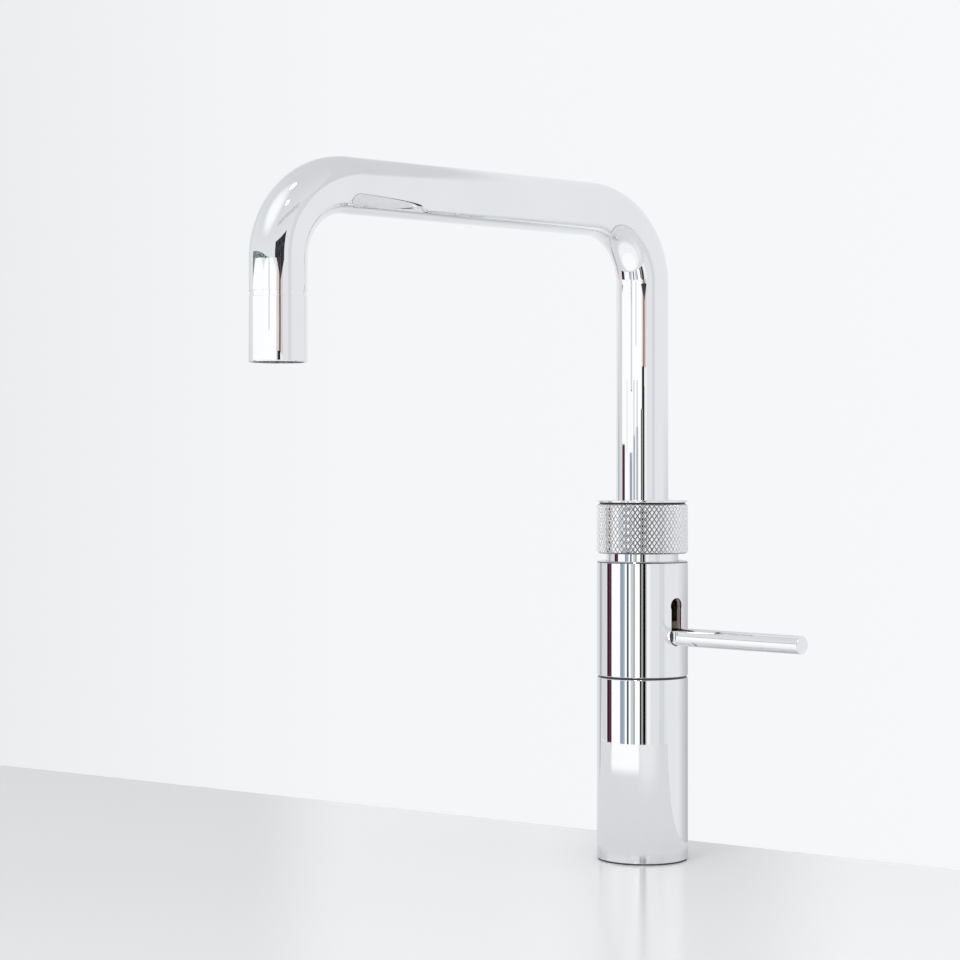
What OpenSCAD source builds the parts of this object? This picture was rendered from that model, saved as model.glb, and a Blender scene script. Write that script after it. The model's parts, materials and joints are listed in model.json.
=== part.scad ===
// Boiling water tap: a deck-mounted tap with a square swivel spout, a turning mixer sleeve
// with a lever in a keyhole slot, and a knurled ring that is pushed and turned for boiling water.
// Millimetres, +Z up. The origin is the centre of the base on the worktop.
// The spout points to -Y. The lever points to +X, turned lever_turn back from it.

/* [Body] */
// Diameter of the lower body and of the mixer sleeve
body_d = 38.5; // [36:0.5:44]
// Height of the lower body's top edge above the worktop
body_h = 77; // [70:1:110]
// Wall of the lower body and of the mixer sleeve
body_wall = 2.25; // [1.8:0.05:2.5]
// Height of the dark seam between the lower body and the sleeve
seam_h = 0.8; // [0.6:0.1:1.5]
// Height of the mixer sleeve
sleeve_h = 48.4; // [47:0.2:60]
// Thickness of the plate that closes the sleeve's top
sleeve_top_t = 2.5; // [1.5:0.1:4]
// Radius of the sleeve's top edge
edge_r = 0.8; // [0.2:0.1:1.2]
// Thickness of the rubber gasket under the body
gasket_t = 0.6; // [0.4:0.1:1.5]

/* [Lever] */
// Diameter of the lever
lever_d = 7.35; // [7:0.05:8]
// Distance from the tap's axis to the lever's end
lever_len = 85; // [60:1:120]
// Height of the lever above the sleeve's bottom edge
lever_rise = 17; // [16.5:0.1:18]
// How far the lever stands back from +X
lever_turn = 6; // [0:1:20]
// How far the lever lifts
lever_lift = 28; // [15:1:28]
// Width across the two flats at the lever's root
flat_w = 5.7; // [5:0.1:5.8]
// Height of the slot's top end above the lever's centre
slot_rise = 16.2; // [16.2:0.1:18]
// Gap beside the lever in its slot
slot_gap = 0.2; // [0.2:0.05:0.5]

/* [Knurled ring] */
// Outer diameter over the knurl
ring_d = 38.5; // [38:0.5:42]
// Height of the knurled ring
ring_h = 20.9; // [20:0.1:26]
// How far the ring pushes down
push = 2.8; // [1.5:0.1:2.8]
// How far the ring turns for boiling water
ring_turn = 90; // [60:5:90]
// Gap left under the ring when it is pushed down
push_gap = 0.3; // [0.2:0.05:1]
// Number of diamonds round the knurl
knurl_n = 60; // [40:1:70]
// Number of rows of diamonds, one above another
knurl_rows = 14; // [8:1:20]
// Depth of the knurl
knurl_depth = 0.55; // [0.3:0.05:0.8]
// Diameter of the thin cap on the ring
cap_d = 37.8; // [36:0.1:38]
// Height of the cap's visible edge
cap_h = 0.9; // [0.6:0.1:2]
// Height of the dark groove under the cap
cap_groove = 0.6; // [0.4:0.1:1]
// Diameter of the polished neck under the ring
neck_d = 30.4; // [30.4:0.1:31]

/* [Spout] */
// Outer diameter of the spout tube
tube_d = 22; // [20:0.5:22]
// Wall of the spout tube
tube_wall = 1.2; // [1:0.1:1.5]
// Height of the spout's level tube above the worktop, to its centre
spout_z = 273; // [220:1:320]
// Distance from the tap's axis to the outlet's axis
reach = 183; // [120:1:220]
// Radius of both bends, to the tube's centre
bend_r = 30; // [20:1:40]
// Height of the outlet above the worktop
outlet_z = 204.4; // [160:0.2:210]
// Height of the outlet sleeve
outlet_h = 24.4; // [16:0.2:28]
// Height of the ring between the outlet sleeve and the tube
joint_h = 2; // [1:0.1:3]
// Diameter of the boiling water tube inside the spout
inner_d = 6; // [5:0.1:7]

/* [Under the worktop] */
// Diameter of the threaded shank
shank_d = 32; // [31:0.1:32.5]
// Length of the shank below the worktop
shank_len = 54; // [40:1:70]
// Pitch of the shank's thread
thread_p = 1.5; // [1:0.1:2]
// Thickness of the worktop that the clamp is drawn at
deck_t = 40; // [10:1:42]
// Width across the mounting nut's flats
nut_w = 42; // [40:1:46]
// Height of the mounting nut
nut_h = 8; // [6:1:12]
// Outer diameter of each supply pipe
pipe_d = 10; // [8:0.5:10]
// Length of the supply pipes below the worktop
pipe_len = 75; // [72:1:120]
// Length of each pipe's plain end, below its bead
pipe_tail = 19; // [15:1:19]

/* [Fits] */
// Radial clearance of a running fit
fit = 0.08; // [0.05:0.01:0.1]
// Radial clearance where two pieces only pass each other
pass = 0.3; // [0.25:0.05:0.5]
// Radial clearance of a seat
seat = 0.05; // [0.02:0.01:0.08]

/* [Hidden] */
$fn = 96;
e = 0.01;
chrome = [0.82, 0.84, 0.86];
brass = [0.80, 0.68, 0.42];
steel = [0.62, 0.63, 0.65];
copper = [0.78, 0.48, 0.34];
rubber = [0.12, 0.12, 0.13];
polymer = [0.20, 0.20, 0.22];
ceramic = [0.93, 0.93, 0.90];

// Body and sleeve
body_r = body_d / 2;
bore_r = body_r - body_wall;
floor_z = gasket_t + 6;
sleeve_z = body_h + seam_h;
sleeve_top = sleeve_z + sleeve_h;
lever_z = sleeve_z + lever_rise;

// Cartridge block in the lower body, with a spigot that the sleeve turns on
block_r = bore_r - seat;
block_depth = 21;
block_z = body_h - block_depth;
spigot_h = 3;
spigot_top = body_h + spigot_h;
shelf_w = 1.2;
shelf_r = bore_r - shelf_w;
pipe_r = pipe_d / 2;
pipe_wall = 1;
pipe_bore_r = pipe_r - pipe_wall;
pipe_at = pipe_r + 1.8;
pipe_seat = 6;
pipe_top = block_z + pipe_seat;

// The shank's bore holds the three pipes, and its plain stem is set in the body's floor
shank_bore_r = pipe_at + pipe_r + pass;
stem_r = body_r - 5;

// Lever hub, a ring round the riser that tilts on two pins in the carrier
carrier_t = 2.8;
carrier_in = bore_r - seat - carrier_t;
carrier_half = 6;
hub_out = carrier_in - 1.1;
hub_t = 3.1;
hub_in = hub_out - hub_t;
hub_half = 3.5;
riser_r = hub_in - 3.45;
riser_wall = 3.5;
riser_bore_r = riser_r - riser_wall;
riser_step = 14;
riser_seat_z = block_z + riser_step;
feed_z = pipe_top + riser_bore_r;

// Fixed ceramic seat and the flow disc that slides on it
ceramic_t = 2;
disc_z = spigot_top + ceramic_t + seat;
disc_t = 2.6;
disc_r = hub_out - 0.25;
disc_back = 1.6;
port_at = (riser_r + disc_r) / 2;
port_r = (disc_r - riser_r) / 2 - 0.55;

// Pins, and the fingers that carry the lever's lift down to the disc
pin_r = 1.5;
pin_end = bore_r - 0.4;
finger_at = (hub_in + hub_out) / 2;
ball_r = 1.45;
ball_z = disc_z + ball_r + 0.1;
finger_len = lever_z - ball_z;
disc_travel = finger_len * sin(lever_lift);
lever_r = lever_d / 2;
stub_r = 2.5;
stub_from = hub_in + 0.3;
shoulder = hub_out + 0.1;
// The flats end where the lever's middle, lifted right up, has left the sleeve
flat_end = (body_r + pass) / cos(lever_lift);
slot_w = flat_w + 2 * slot_gap;
hole_r = lever_r + slot_gap + 0.1;
slot_end_r = slot_w / 2 + 0.35;

// Fixed head that carries the spout, just clear of the lever when it is lifted
head_r = neck_d / 2 - 1.42 - fit;
socket_z = lever_z + head_r * tan(lever_lift) + lever_r / cos(lever_lift) + pass;
socket_in = head_r - 1.4;
socket_floor = socket_z + 2.6;
collar_t = 2.6;
rotor_z = socket_floor + 2.2;
rotor_t = 3.6;
rotor_r = socket_in - 0.4;
arm_w = 3.6;
window_z = rotor_z - 0.4;
window_h = rotor_t + 0.8;
collar_z = rotor_z + rotor_t + 2.8;
skirt_z = collar_z + collar_t + 0.2;
socket_top = skirt_z + 2.6;
tube_r = tube_d / 2;
tube_in = tube_r - tube_wall;
neck_r = neck_d / 2;
drive_in = head_r + fit;
drive_z = window_z - 0.3;

// Knurled ring, pushed down by hand and up by the return spring
neck_gap = push + push_gap;
ring_z = sleeve_top + neck_gap;
ring_top = ring_z + ring_h;
ring_r = ring_d / 2;
grip_in = ring_r - 1.85;
core_in = neck_r + fit;
plate_t = 2.8;
plate_z = ring_top - plate_t;
head_top = plate_z - push - 0.3;
spring_wire = 0.9;
spring_turns = 3;
spring_r = (drive_in + neck_r) / 2;
spring_room = push + spring_wire * spring_turns + 0.9;
drive_top = plate_z - spring_room;
spline_n = 4;
spline_w = 3;
spline_in = neck_r - 0.7;
stop_t = 1;
stop_z = drive_top - 0.3 - stop_t;
rib_top = stop_z - 0.2;
rib_z = ring_z + 3.7;
cap_z = ring_top + cap_groove;
cap_r = cap_d / 2;

// Spout and outlet
bend_z = spout_z - bend_r;
joint_z = outlet_z + outlet_h;
joint_top = joint_z + joint_h;
joint_r = tube_r - 0.3;
tube_bottom = collar_z - 0.4;
inner_r = inner_d / 2;
inner_bottom = rotor_z + rotor_t + 0.3;
aerator_z = outlet_z + 1.6;
aerator_t = 6;
nozzle_top = aerator_z + aerator_t + 4;

// A ring or tube from z0 to z1
module tube(r_out, r_in, z0, z1) {
    translate([0, 0, z0]) difference() {
        cylinder(r = r_out, h = z1 - z0);
        translate([0, 0, -e]) cylinder(r = r_in, h = z1 - z0 + 2 * e);
    }
}

// A square-shouldered groove or ring, for cutting into walls
module band(r_out, r_in, z0, z1) {
    rotate_extrude() translate([r_in, z0]) square([r_out - r_in, z1 - z0]);
}

// Everything that turns with the lever is drawn along +X and then turned
module at_lever() {
    rotate([0, 0, lever_turn]) children();
}

// The spout's route: up, over to -Y, and down to end_z
module route(r, start_z, end_z) {
    translate([0, 0, start_z]) cylinder(r = r, h = bend_z - start_z);
    translate([0, -bend_r, bend_z]) bend(r);
    translate([0, -bend_r, spout_z]) rotate([90, 0, 0]) cylinder(r = r, h = reach - 2 * bend_r);
    translate([0, bend_r - reach, bend_z]) rotate([0, 0, 180]) bend(r);
    translate([0, -reach, end_z]) cylinder(r = r, h = bend_z - end_z);
}

// A quarter bend from upright at +Y to level at the top
module bend(r) {
    rotate([90, 0, 90]) rotate_extrude(angle = 90) translate([bend_r, 0]) circle(r = r);
}

// ---- Under the worktop ----

// The gasket lies on the worktop outside the shank, and its upper half goes in to the stem
module base_gasket() {
    shank_r = shank_d / 2;
    half = gasket_t / 2;
    color(rubber) rotate_extrude() polygon([
        [shank_r + pass, 0],
        [body_r - 0.5, 0],
        [body_r - 0.5, gasket_t],
        [stem_r + pass, gasket_t],
        [stem_r + pass, half],
        [shank_r + pass, half]
    ]);
}

module mounting_shank() {
    shank_r = shank_d / 2;
    root_r = shank_r - 0.61 * thread_p;
    teeth = floor((shank_len - 10) / thread_p);
    low = -shank_len;
    profile = concat(
        [[shank_bore_r, low], [root_r, low]],
        [for (i = [0 : teeth - 1]) each [
            [root_r, low + 1 + i * thread_p],
            [shank_r, low + 1 + (i + 0.45) * thread_p],
            [shank_r, low + 1 + (i + 0.55) * thread_p]
        ]],
        [[root_r, low + 1 + teeth * thread_p], [root_r, -7], [shank_r, -6]],
        [[shank_r, gasket_t / 2], [stem_r, gasket_t / 2], [stem_r, floor_z], [shank_bore_r, floor_z]]
    );
    color(brass) rotate_extrude() polygon(profile);
}

module deck_washer() {
    color(rubber) tube(nut_w / 2 + 3, shank_d / 2 + pass, -deck_t - 3, -deck_t);
}

module clamp_washer() {
    color(steel) tube(nut_w / 2 + 3, shank_d / 2 + pass, -deck_t - 5, -deck_t - 3);
}

module mounting_nut() {
    color(brass) translate([0, 0, -deck_t - 5 - nut_h]) difference() {
        intersection() {
            cylinder(r = nut_w / 2 / cos(30), h = nut_h, $fn = 6);
            translate([0, 0, -nut_w / 4]) cylinder(r1 = nut_w / 4, r2 = nut_w, h = nut_w * 0.75);
            cylinder(r = nut_w / 2 + 1.6, h = nut_h);
        }
        translate([0, 0, -e]) cylinder(r = shank_d / 2 + seat, h = nut_h + 2 * e);
    }
}

// A copper pipe with a bead that a coupling on its plain end stops against
module supply_pipe(angle) {
    bead_z = pipe_tail - pipe_len;
    rotate([0, 0, angle]) translate([pipe_at, 0, 0]) {
        tube(pipe_r, pipe_bore_r, -pipe_len, pipe_top - seat);
        tube(pipe_r + 0.5, pipe_r - 0.3, bead_z, bead_z + 1.2);
    }
}

module cold_pipe() {
    color(copper) supply_pipe(-30);
}

module hot_pipe() {
    color(copper) supply_pipe(210);
}

module boiling_pipe() {
    color(copper) supply_pipe(90);
}

// ---- Fixed body ----

module lower_body() {
    color(chrome) difference() {
        rotate_extrude() polygon([
            [stem_r + seat, gasket_t],
            [body_r - 0.3, gasket_t],
            [body_r, gasket_t + 0.3],
            [body_r, body_h - 0.3],
            [body_r - 0.3, body_h],
            [bore_r, body_h],
            [bore_r, block_z],
            [shelf_r, block_z],
            [shelf_r, floor_z],
            [stem_r + seat, floor_z]
        ]);
    }
}

module seam_bearing() {
    color(polymer) tube(body_r - 0.55, bore_r - seat + 0.1, body_h, sleeve_z - seat);
}

module cartridge_block() {
    color(brass) difference() {
        translate([0, 0, block_z]) cylinder(r = block_r, h = spigot_top - block_z);
        for (a = [-30, 90, 210]) rotate([0, 0, a]) translate([pipe_at, 0, block_z - e])
            cylinder(r = pipe_r + seat, h = pipe_top - block_z);
        for (a = [-30, 210]) rotate([0, 0, a]) translate([port_at, 0, pipe_top - 1])
            cylinder(r = port_r, h = spigot_top - pipe_top + 2);
        rotate([0, 0, 90]) translate([pipe_at, 0, pipe_top - 1])
            cylinder(r = riser_bore_r, h = 1 + 2 * riser_bore_r);
        translate([0, 0, feed_z]) rotate([-90, 0, 0])
            cylinder(r = riser_bore_r - 0.4, h = pipe_at);
        translate([0, 0, feed_z]) cylinder(r = riser_bore_r, h = spigot_top);
        translate([0, 0, riser_seat_z]) cylinder(r = riser_r + seat, h = spigot_top);
    }
}

module ceramic_seat() {
    color(ceramic) difference() {
        tube(block_r - shelf_w, riser_r + pass, spigot_top, spigot_top + ceramic_t);
        for (a = [-30, 210]) rotate([0, 0, a]) translate([port_at, 0, spigot_top - e])
            cylinder(r = port_r, h = ceramic_t + 2 * e);
    }
}

module riser_column() {
    color(brass) tube(riser_r, riser_bore_r, riser_seat_z + seat, socket_floor);
}

// Two windows let the valve rotor's arms reach the drive sleeve through the fixed wall
module socket_windows() {
    reach_r = head_r + 2;
    spread = ring_turn + 2 * asin((arm_w / 2 + 0.3) / socket_in);
    for (a = [0, 180]) rotate([0, 0, a + ring_turn / 2 - spread / 2]) translate([0, 0, window_z])
        rotate_extrude(angle = spread) translate([socket_in - 1, 0]) square([reach_r, window_h]);
}

module head_socket() {
    color(brass) difference() {
        translate([0, 0, socket_z]) cylinder(r = head_r, h = socket_top - socket_z);
        translate([0, 0, socket_floor]) cylinder(r = socket_in, h = socket_top);
        translate([0, 0, socket_z - e]) cylinder(r = riser_r + seat, h = 4);
        for (a = [45 : 90 : 315]) rotate([0, 0, a])
            translate([(riser_r + socket_in) / 2, 0, socket_z - e]) cylinder(r = 1.2, h = 4);
        socket_windows();
    }
}

module column_head() {
    groove_r = tube_r + 1.6;
    color(brass) difference() {
        union() {
            translate([0, 0, socket_top]) cylinder(r = head_r, h = head_top - socket_top);
            translate([0, 0, skirt_z]) cylinder(r = socket_in - seat, h = socket_top - skirt_z + e);
        }
        translate([0, 0, skirt_z - e]) cylinder(r = tube_r + fit, h = head_top);
        for (z = o_ring_at) band(groove_r, tube_r - 1, z - 1, z + 1);
    }
}

// Heights of the two O-rings in the head's bore
o_ring_at = [socket_top + 4, head_top - 4];

module o_ring(z) {
    translate([0, 0, z]) rotate_extrude() translate([tube_r + 0.81, 0]) circle(r = 0.78);
}

module upper_o_ring() {
    color(rubber) o_ring(o_ring_at[1]);
}

module lower_o_ring() {
    color(rubber) o_ring(o_ring_at[0]);
}

// ---- Mixer sleeve and lever ----

// Keyhole: a round hole that the lever screws in through, and a slot that its flats ride in
module keyhole() {
    depth = body_r + 2;
    translate([0, 0, lever_z]) rotate([0, 90, 0]) cylinder(r = hole_r, h = depth);
    translate([0, -slot_w / 2, lever_z])
        cube([depth, slot_w, slot_rise - slot_end_r]);
    translate([0, 0, lever_z + slot_rise - slot_end_r]) rotate([0, 90, 0])
        cylinder(r = slot_end_r, h = depth);
}

module sleeve_shell() {
    steps = 6;
    corner = [for (i = [0 : steps]) [
        body_r - edge_r + edge_r * cos(90 * i / steps),
        sleeve_top - edge_r + edge_r * sin(90 * i / steps)
    ]];
    rotate_extrude() polygon(concat(
        [[bore_r + fit - seat, sleeve_z], [body_r - 0.3, sleeve_z], [body_r, sleeve_z + 0.3]],
        corner,
        [[neck_r + pass, sleeve_top], [neck_r + pass, sleeve_top - sleeve_top_t]],
        [[bore_r + fit - seat, sleeve_top - sleeve_top_t]]
    ));
}

module mixer_sleeve() {
    color(chrome) difference() {
        sleeve_shell();
        at_lever() keyhole();
    }
}

module lever_carrier() {
    color(steel) at_lever() difference() {
        tube(bore_r - seat, carrier_in, lever_z - carrier_half, lever_z + carrier_half);
        translate([0, 0, lever_z]) rotate([90, 0, 0])
            cylinder(r = pin_r + fit, h = body_d, center = true);
        translate([0, -slot_w / 2 - 0.3, lever_z - lever_r - 0.5])
            cube([body_r, slot_w + 0.6, body_r]);
    }
}

// What is milled off for one flat. Its outer end slants with the sleeve as seen from the lifted lever
module lever_flat(side) {
    slant = lever_d * tan(lever_lift);
    translate([0, side * (flat_w / 2 + 2) + 2, lever_z]) rotate([90, 0, 0])
        linear_extrude(height = 4) polygon([
            [shoulder - 1, -lever_d],
            [flat_end - slant, -lever_d],
            [flat_end + slant, lever_d],
            [shoulder - 1, lever_d]
        ]);
}

module lever_rod() {
    color(chrome) at_lever() difference() {
        translate([0, 0, lever_z]) rotate([0, 90, 0]) union() {
            translate([0, 0, stub_from]) cylinder(r = stub_r - seat, h = shoulder - stub_from + e);
            translate([0, 0, shoulder]) cylinder(r = lever_r, h = lever_len - 0.3 - shoulder);
            translate([0, 0, lever_len - 0.3]) cylinder(r1 = lever_r, r2 = lever_r - 0.3, h = 0.3);
        }
        for (side = [-1, 1]) lever_flat(side);
    }
}

// One finger under each pin, with a ball that pushes the flow disc
module hub_finger(side) {
    translate([0, side * finger_at, ball_z]) {
        cylinder(r = 0.8, h = finger_len - hub_half + 1);
        sphere(r = ball_r);
    }
}

module lever_hub() {
    color(steel) at_lever() union() {
        difference() {
            tube(hub_out, hub_in, lever_z - hub_half, lever_z + hub_half);
            translate([0, 0, lever_z]) rotate([90, 0, 0])
                cylinder(r = pin_r + seat, h = body_d, center = true);
            translate([0, 0, lever_z]) rotate([0, 90, 0]) cylinder(r = stub_r, h = body_r);
        }
        difference() {
            for (side = [-1, 1]) hub_finger(side);
            translate([0, 0, lever_z]) rotate([90, 0, 0])
                cylinder(r = pin_r + seat, h = body_d, center = true);
        }
    }
}

module pivot_pin(side) {
    at_lever() translate([0, side * (hub_in + 0.6), lever_z]) rotate([-90 * side, 0, 0])
        cylinder(r = pin_r, h = pin_end - hub_in - 0.6);
}

module front_pivot_pin() {
    color(steel) pivot_pin(-1);
}

module rear_pivot_pin() {
    color(steel) pivot_pin(1);
}

module flow_disc() {
    slot_r = riser_r + pass;
    notch_w = 2 * (ball_r + 0.15);
    color(ceramic) at_lever() translate([0, 0, disc_z]) difference() {
        translate([-disc_back, 0, 0]) cylinder(r = disc_r, h = disc_t);
        translate([0, 0, -e]) cylinder(r = slot_r, h = disc_t + 1);
        translate([-disc_travel - 0.2, 0, -e]) cylinder(r = slot_r, h = disc_t + 1);
        translate([-disc_travel - 0.2, -slot_r, -e])
            cube([disc_travel + 0.2, 2 * slot_r, disc_t + 1]);
        for (side = [-1, 1])
            translate([-notch_w / 2, side * (finger_at + 3.4) - 5, -e])
                cube([notch_w, 10, disc_t + 1]);
    }
}

// ---- Boiling water ring ----

module drive_sleeve() {
    arm_cut = arm_w + 0.2;
    color(chrome) difference() {
        tube(neck_r, drive_in, drive_z, drive_top);
        translate([-neck_r - 1, -arm_cut / 2, drive_z - e])
            cube([2 * neck_r + 2, arm_cut, window_z + window_h - drive_z]);
        band(neck_r + 1, spline_in - 0.1, stop_z - 0.05, stop_z + stop_t + 0.05);
        for (i = [0 : spline_n - 1]) rotate([0, 0, 45 + i * 360 / spline_n])
            translate([spline_in - 0.1, -spline_w / 2 - 0.1, ring_z + 0.6])
                cube([3, spline_w + 0.2, ring_h]);
    }
}

module ring_stop() {
    color(steel) difference() {
        tube(neck_r, spline_in, stop_z, stop_z + stop_t);
        translate([0, -1.5, stop_z - e]) cube([neck_r + 1, 3, stop_t + 2 * e]);
    }
}

module valve_rotor() {
    color(ceramic) difference() {
        union() {
            translate([0, 0, rotor_z]) cylinder(r = rotor_r, h = rotor_t);
            translate([0, 0, socket_floor + 0.1]) cylinder(r = riser_r - 1, h = rotor_z - socket_floor);
            translate([-neck_r + 0.3, -arm_w / 2, rotor_z + 0.1])
                cube([2 * neck_r - 0.6, arm_w, rotor_t - 0.2]);
        }
        translate([0, 0, socket_floor]) cylinder(r = riser_bore_r - 0.5, h = 10);
        for (a = [45 : 90 : 315]) rotate([0, 0, a]) translate([rotor_r - 3, 0, rotor_z - e])
            cylinder(r = 1.6, h = rotor_t + 2 * e);
    }
}

module ring_core() {
    color(steel) union() {
        tube(grip_in - seat, core_in, ring_z + 0.3, plate_z + e);
        tube(grip_in - seat, tube_r + pass, plate_z, ring_top);
        intersection() {
            band(core_in + 0.5, spline_in, rib_z, rib_top);
            for (i = [0 : spline_n - 1]) rotate([0, 0, 45 + i * 360 / spline_n])
                translate([spline_in - 1, -spline_w / 2, rib_z - 1])
                    cube([4, spline_w, rib_top - rib_z + 2]);
        }
    }
}

// Diamond knurl: peaks and valleys alternate round and up the ring, and each square between
// them is split along its valley, so every peak is a four-sided point
module knurled_grip() {
    cols = 2 * knurl_n;
    edge = 0.7;
    step = (ring_h - 2 * edge) / knurl_rows;
    layers = knurl_rows + 3;
    level = [for (k = [0 : layers - 1])
        k == 0 ? ring_z : k == layers - 1 ? ring_top : ring_z + edge + (k - 1) * step];
    outer = [for (k = [0 : layers - 1], i = [0 : cols - 1])
        let (end = k == 0 || k == layers - 1, a = 360 * i / cols)
        let (r = end ? ring_r - 0.9 : ring_r - ((i + k) % 2) * knurl_depth)
        [r * cos(a), r * sin(a), level[k]]];
    inner = [for (z = [ring_z, ring_top], i = [0 : cols - 1])
        let (a = 360 * i / cols, r = grip_in)
        [r * cos(a), r * sin(a), z]];
    low = layers * cols;
    high = low + cols;
    last = (layers - 1) * cols;
    skin = [for (k = [0 : layers - 2], i = [0 : cols - 1])
        let (j = (i + 1) % cols, a = k * cols + i, b = k * cols + j, c = a + cols, d = b + cols)
        each ((i + k) % 2 == 0 ? [[a, c, b], [b, c, d]] : [[a, d, b], [a, c, d]])];
    ends = [for (i = [0 : cols - 1])
        let (j = (i + 1) % cols)
        each [
            [i, j, low + j], [i, low + j, low + i],
            [last + i, high + j, last + j], [last + i, high + i, high + j],
            [low + i, low + j, high + j], [low + i, high + j, high + i]
        ]];
    color(chrome) polyhedron(points = concat(outer, inner), faces = concat(skin, ends));
}

module ring_cap() {
    color(chrome) difference() {
        rotate_extrude() polygon([
            [tube_r + pass, ring_top],
            [cap_r - 0.9, ring_top],
            [cap_r - 0.9, cap_z],
            [cap_r, cap_z],
            [cap_r, cap_z + cap_h - 0.2],
            [cap_r - 0.2, cap_z + cap_h],
            [tube_r + pass, cap_z + cap_h]
        ]);
    }
}

// Helical spring from the drive sleeve up to the ring's plate
module return_spring() {
    sides = 6;
    per_turn = 20;
    n = spring_turns * per_turn;
    wire_r = spring_wire / 2;
    z0 = drive_top + wire_r + 0.05;
    rise = spring_room - spring_wire - 0.1;
    points = [for (k = [0 : n], i = [0 : sides - 1])
        let (a = 360 * k / per_turn, b = 360 * i / sides)
        let (r = spring_r + wire_r * cos(b))
        [r * cos(a), r * sin(a), z0 + rise * k / n + wire_r * sin(b)]];
    skin = [for (k = [0 : n - 1], i = [0 : sides - 1])
        let (j = (i + 1) % sides, a = k * sides + i, b = k * sides + j, c = a + sides, d = b + sides)
        each [[a, b, c], [b, d, c]]];
    first = [[for (i = [sides - 1 : -1 : 0]) i]];
    final = [[for (i = [0 : sides - 1]) n * sides + i]];
    color(steel) polyhedron(points = points, faces = concat(skin, first, final));
}

// ---- Spout ----

module spout_tube() {
    color(chrome) difference() {
        route(tube_r, tube_bottom, joint_top);
        route(tube_in, tube_bottom - 1, joint_top - 1);
    }
}

module spout_collar() {
    color(brass) tube(socket_in - fit, tube_r + 0.02, collar_z, collar_z + collar_t);
}

module inner_tube() {
    color(copper) difference() {
        route(inner_r, inner_bottom, nozzle_top);
        route(inner_r - 0.8, inner_bottom - 1, nozzle_top - 1);
    }
}

module joint_nipple() {
    plug_r = tube_in - seat;
    color(steel) translate([0, -reach, 0]) difference() {
        union() {
            tube(joint_r, plug_r - 1, joint_z, joint_top);
            tube(plug_r, plug_r - 1, joint_z - 3, joint_top + 3);
        }
    }
}

module outlet_sleeve() {
    color(chrome) translate([0, -reach, 0]) rotate_extrude() polygon([
        [tube_in, outlet_z + 0.2],
        [tube_in + 0.2, outlet_z],
        [tube_r - 0.5, outlet_z],
        [tube_r - 0.15, outlet_z + 0.15],
        [tube_r, outlet_z + 0.5],
        [tube_r, joint_z],
        [tube_in, joint_z]
    ]);
}

module aerator() {
    color(polymer) translate([0, -reach, 0]) difference() {
        translate([0, 0, aerator_z]) cylinder(r = tube_in - seat, h = aerator_t);
        translate([0, 0, aerator_z - e]) cylinder(r = inner_r + 0.8, h = aerator_t + 2 * e);
        for (ring = [1 : 3], i = [0 : 11 + ring * 2]) rotate([0, 0, i * 360 / (12 + ring * 2)])
            translate([inner_r + 0.6 + ring * 1.55, 0, aerator_z - e])
                cylinder(r = 0.5, h = aerator_t + 2 * e);
    }
}

module boiling_nozzle() {
    color(steel) translate([0, -reach, 0])
        tube(inner_r + 0.75, inner_r + 0.02, aerator_z - 0.6, nozzle_top + 2);
}

lower_body();
base_gasket();
mounting_shank();
deck_washer();
clamp_washer();
mounting_nut();
cold_pipe();
hot_pipe();
boiling_pipe();
cartridge_block();
ceramic_seat();
seam_bearing();
riser_column();
head_socket();
column_head();
upper_o_ring();
lower_o_ring();
mixer_sleeve();
lever_carrier();
lever_rod();
lever_hub();
front_pivot_pin();
rear_pivot_pin();
flow_disc();
drive_sleeve();
ring_stop();
valve_rotor();
ring_core();
knurled_grip();
ring_cap();
return_spring();
spout_tube();
spout_collar();
inner_tube();
joint_nipple();
outlet_sleeve();
aerator();
boiling_nozzle();
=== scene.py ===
"""Dresses the boiling water tap.

Makes the chrome pieces with real edges and knurl, a finish for every other node, and a pale studio.
"""

import json
import logging
import math
from dataclasses import dataclass
from enum import Enum

import bmesh
import bpy
from mathutils import Matrix, Vector


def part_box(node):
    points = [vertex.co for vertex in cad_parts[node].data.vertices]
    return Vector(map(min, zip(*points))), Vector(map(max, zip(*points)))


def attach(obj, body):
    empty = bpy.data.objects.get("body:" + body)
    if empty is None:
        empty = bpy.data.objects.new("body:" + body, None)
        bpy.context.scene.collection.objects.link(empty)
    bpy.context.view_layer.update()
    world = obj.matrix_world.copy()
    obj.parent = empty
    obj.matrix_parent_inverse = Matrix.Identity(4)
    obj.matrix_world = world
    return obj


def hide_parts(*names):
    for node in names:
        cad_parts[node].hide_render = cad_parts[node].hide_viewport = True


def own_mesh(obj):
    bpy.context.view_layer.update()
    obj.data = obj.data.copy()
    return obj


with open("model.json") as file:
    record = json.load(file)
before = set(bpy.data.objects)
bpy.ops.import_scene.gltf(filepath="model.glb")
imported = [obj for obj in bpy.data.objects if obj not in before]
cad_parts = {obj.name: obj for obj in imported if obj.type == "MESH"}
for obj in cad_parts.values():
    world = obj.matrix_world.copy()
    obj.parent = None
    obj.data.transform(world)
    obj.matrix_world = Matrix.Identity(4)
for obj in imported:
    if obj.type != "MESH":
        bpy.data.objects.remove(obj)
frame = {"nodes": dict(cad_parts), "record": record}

logging.basicConfig(level=logging.INFO, format="%(name)s: %(message)s")
log = logging.getLogger("tap")

Point = tuple[float, float]
Triple = tuple[float, float, float]
Socket = bpy.types.NodeSocket
Edges = list[bmesh.types.BMEdge]

MM = 0.001
TINY = 1e-6
NEAR_MM = 0.1
FAR_MM = 1e6
SHARP_DEG = 50.0
SMOOTH_DEG = 40.0
UPRIGHT = Matrix.Rotation(math.radians(90), 4, "X")
ROOM_TINT = (0.985, 0.995, 1.015)


class Body(Enum):
    """The tap's bodies that carry a new piece, named as in the record."""

    BASE = "tap_base"
    LEVER = "lever"
    RING = "ring"
    SPOUT = "spout"


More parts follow.
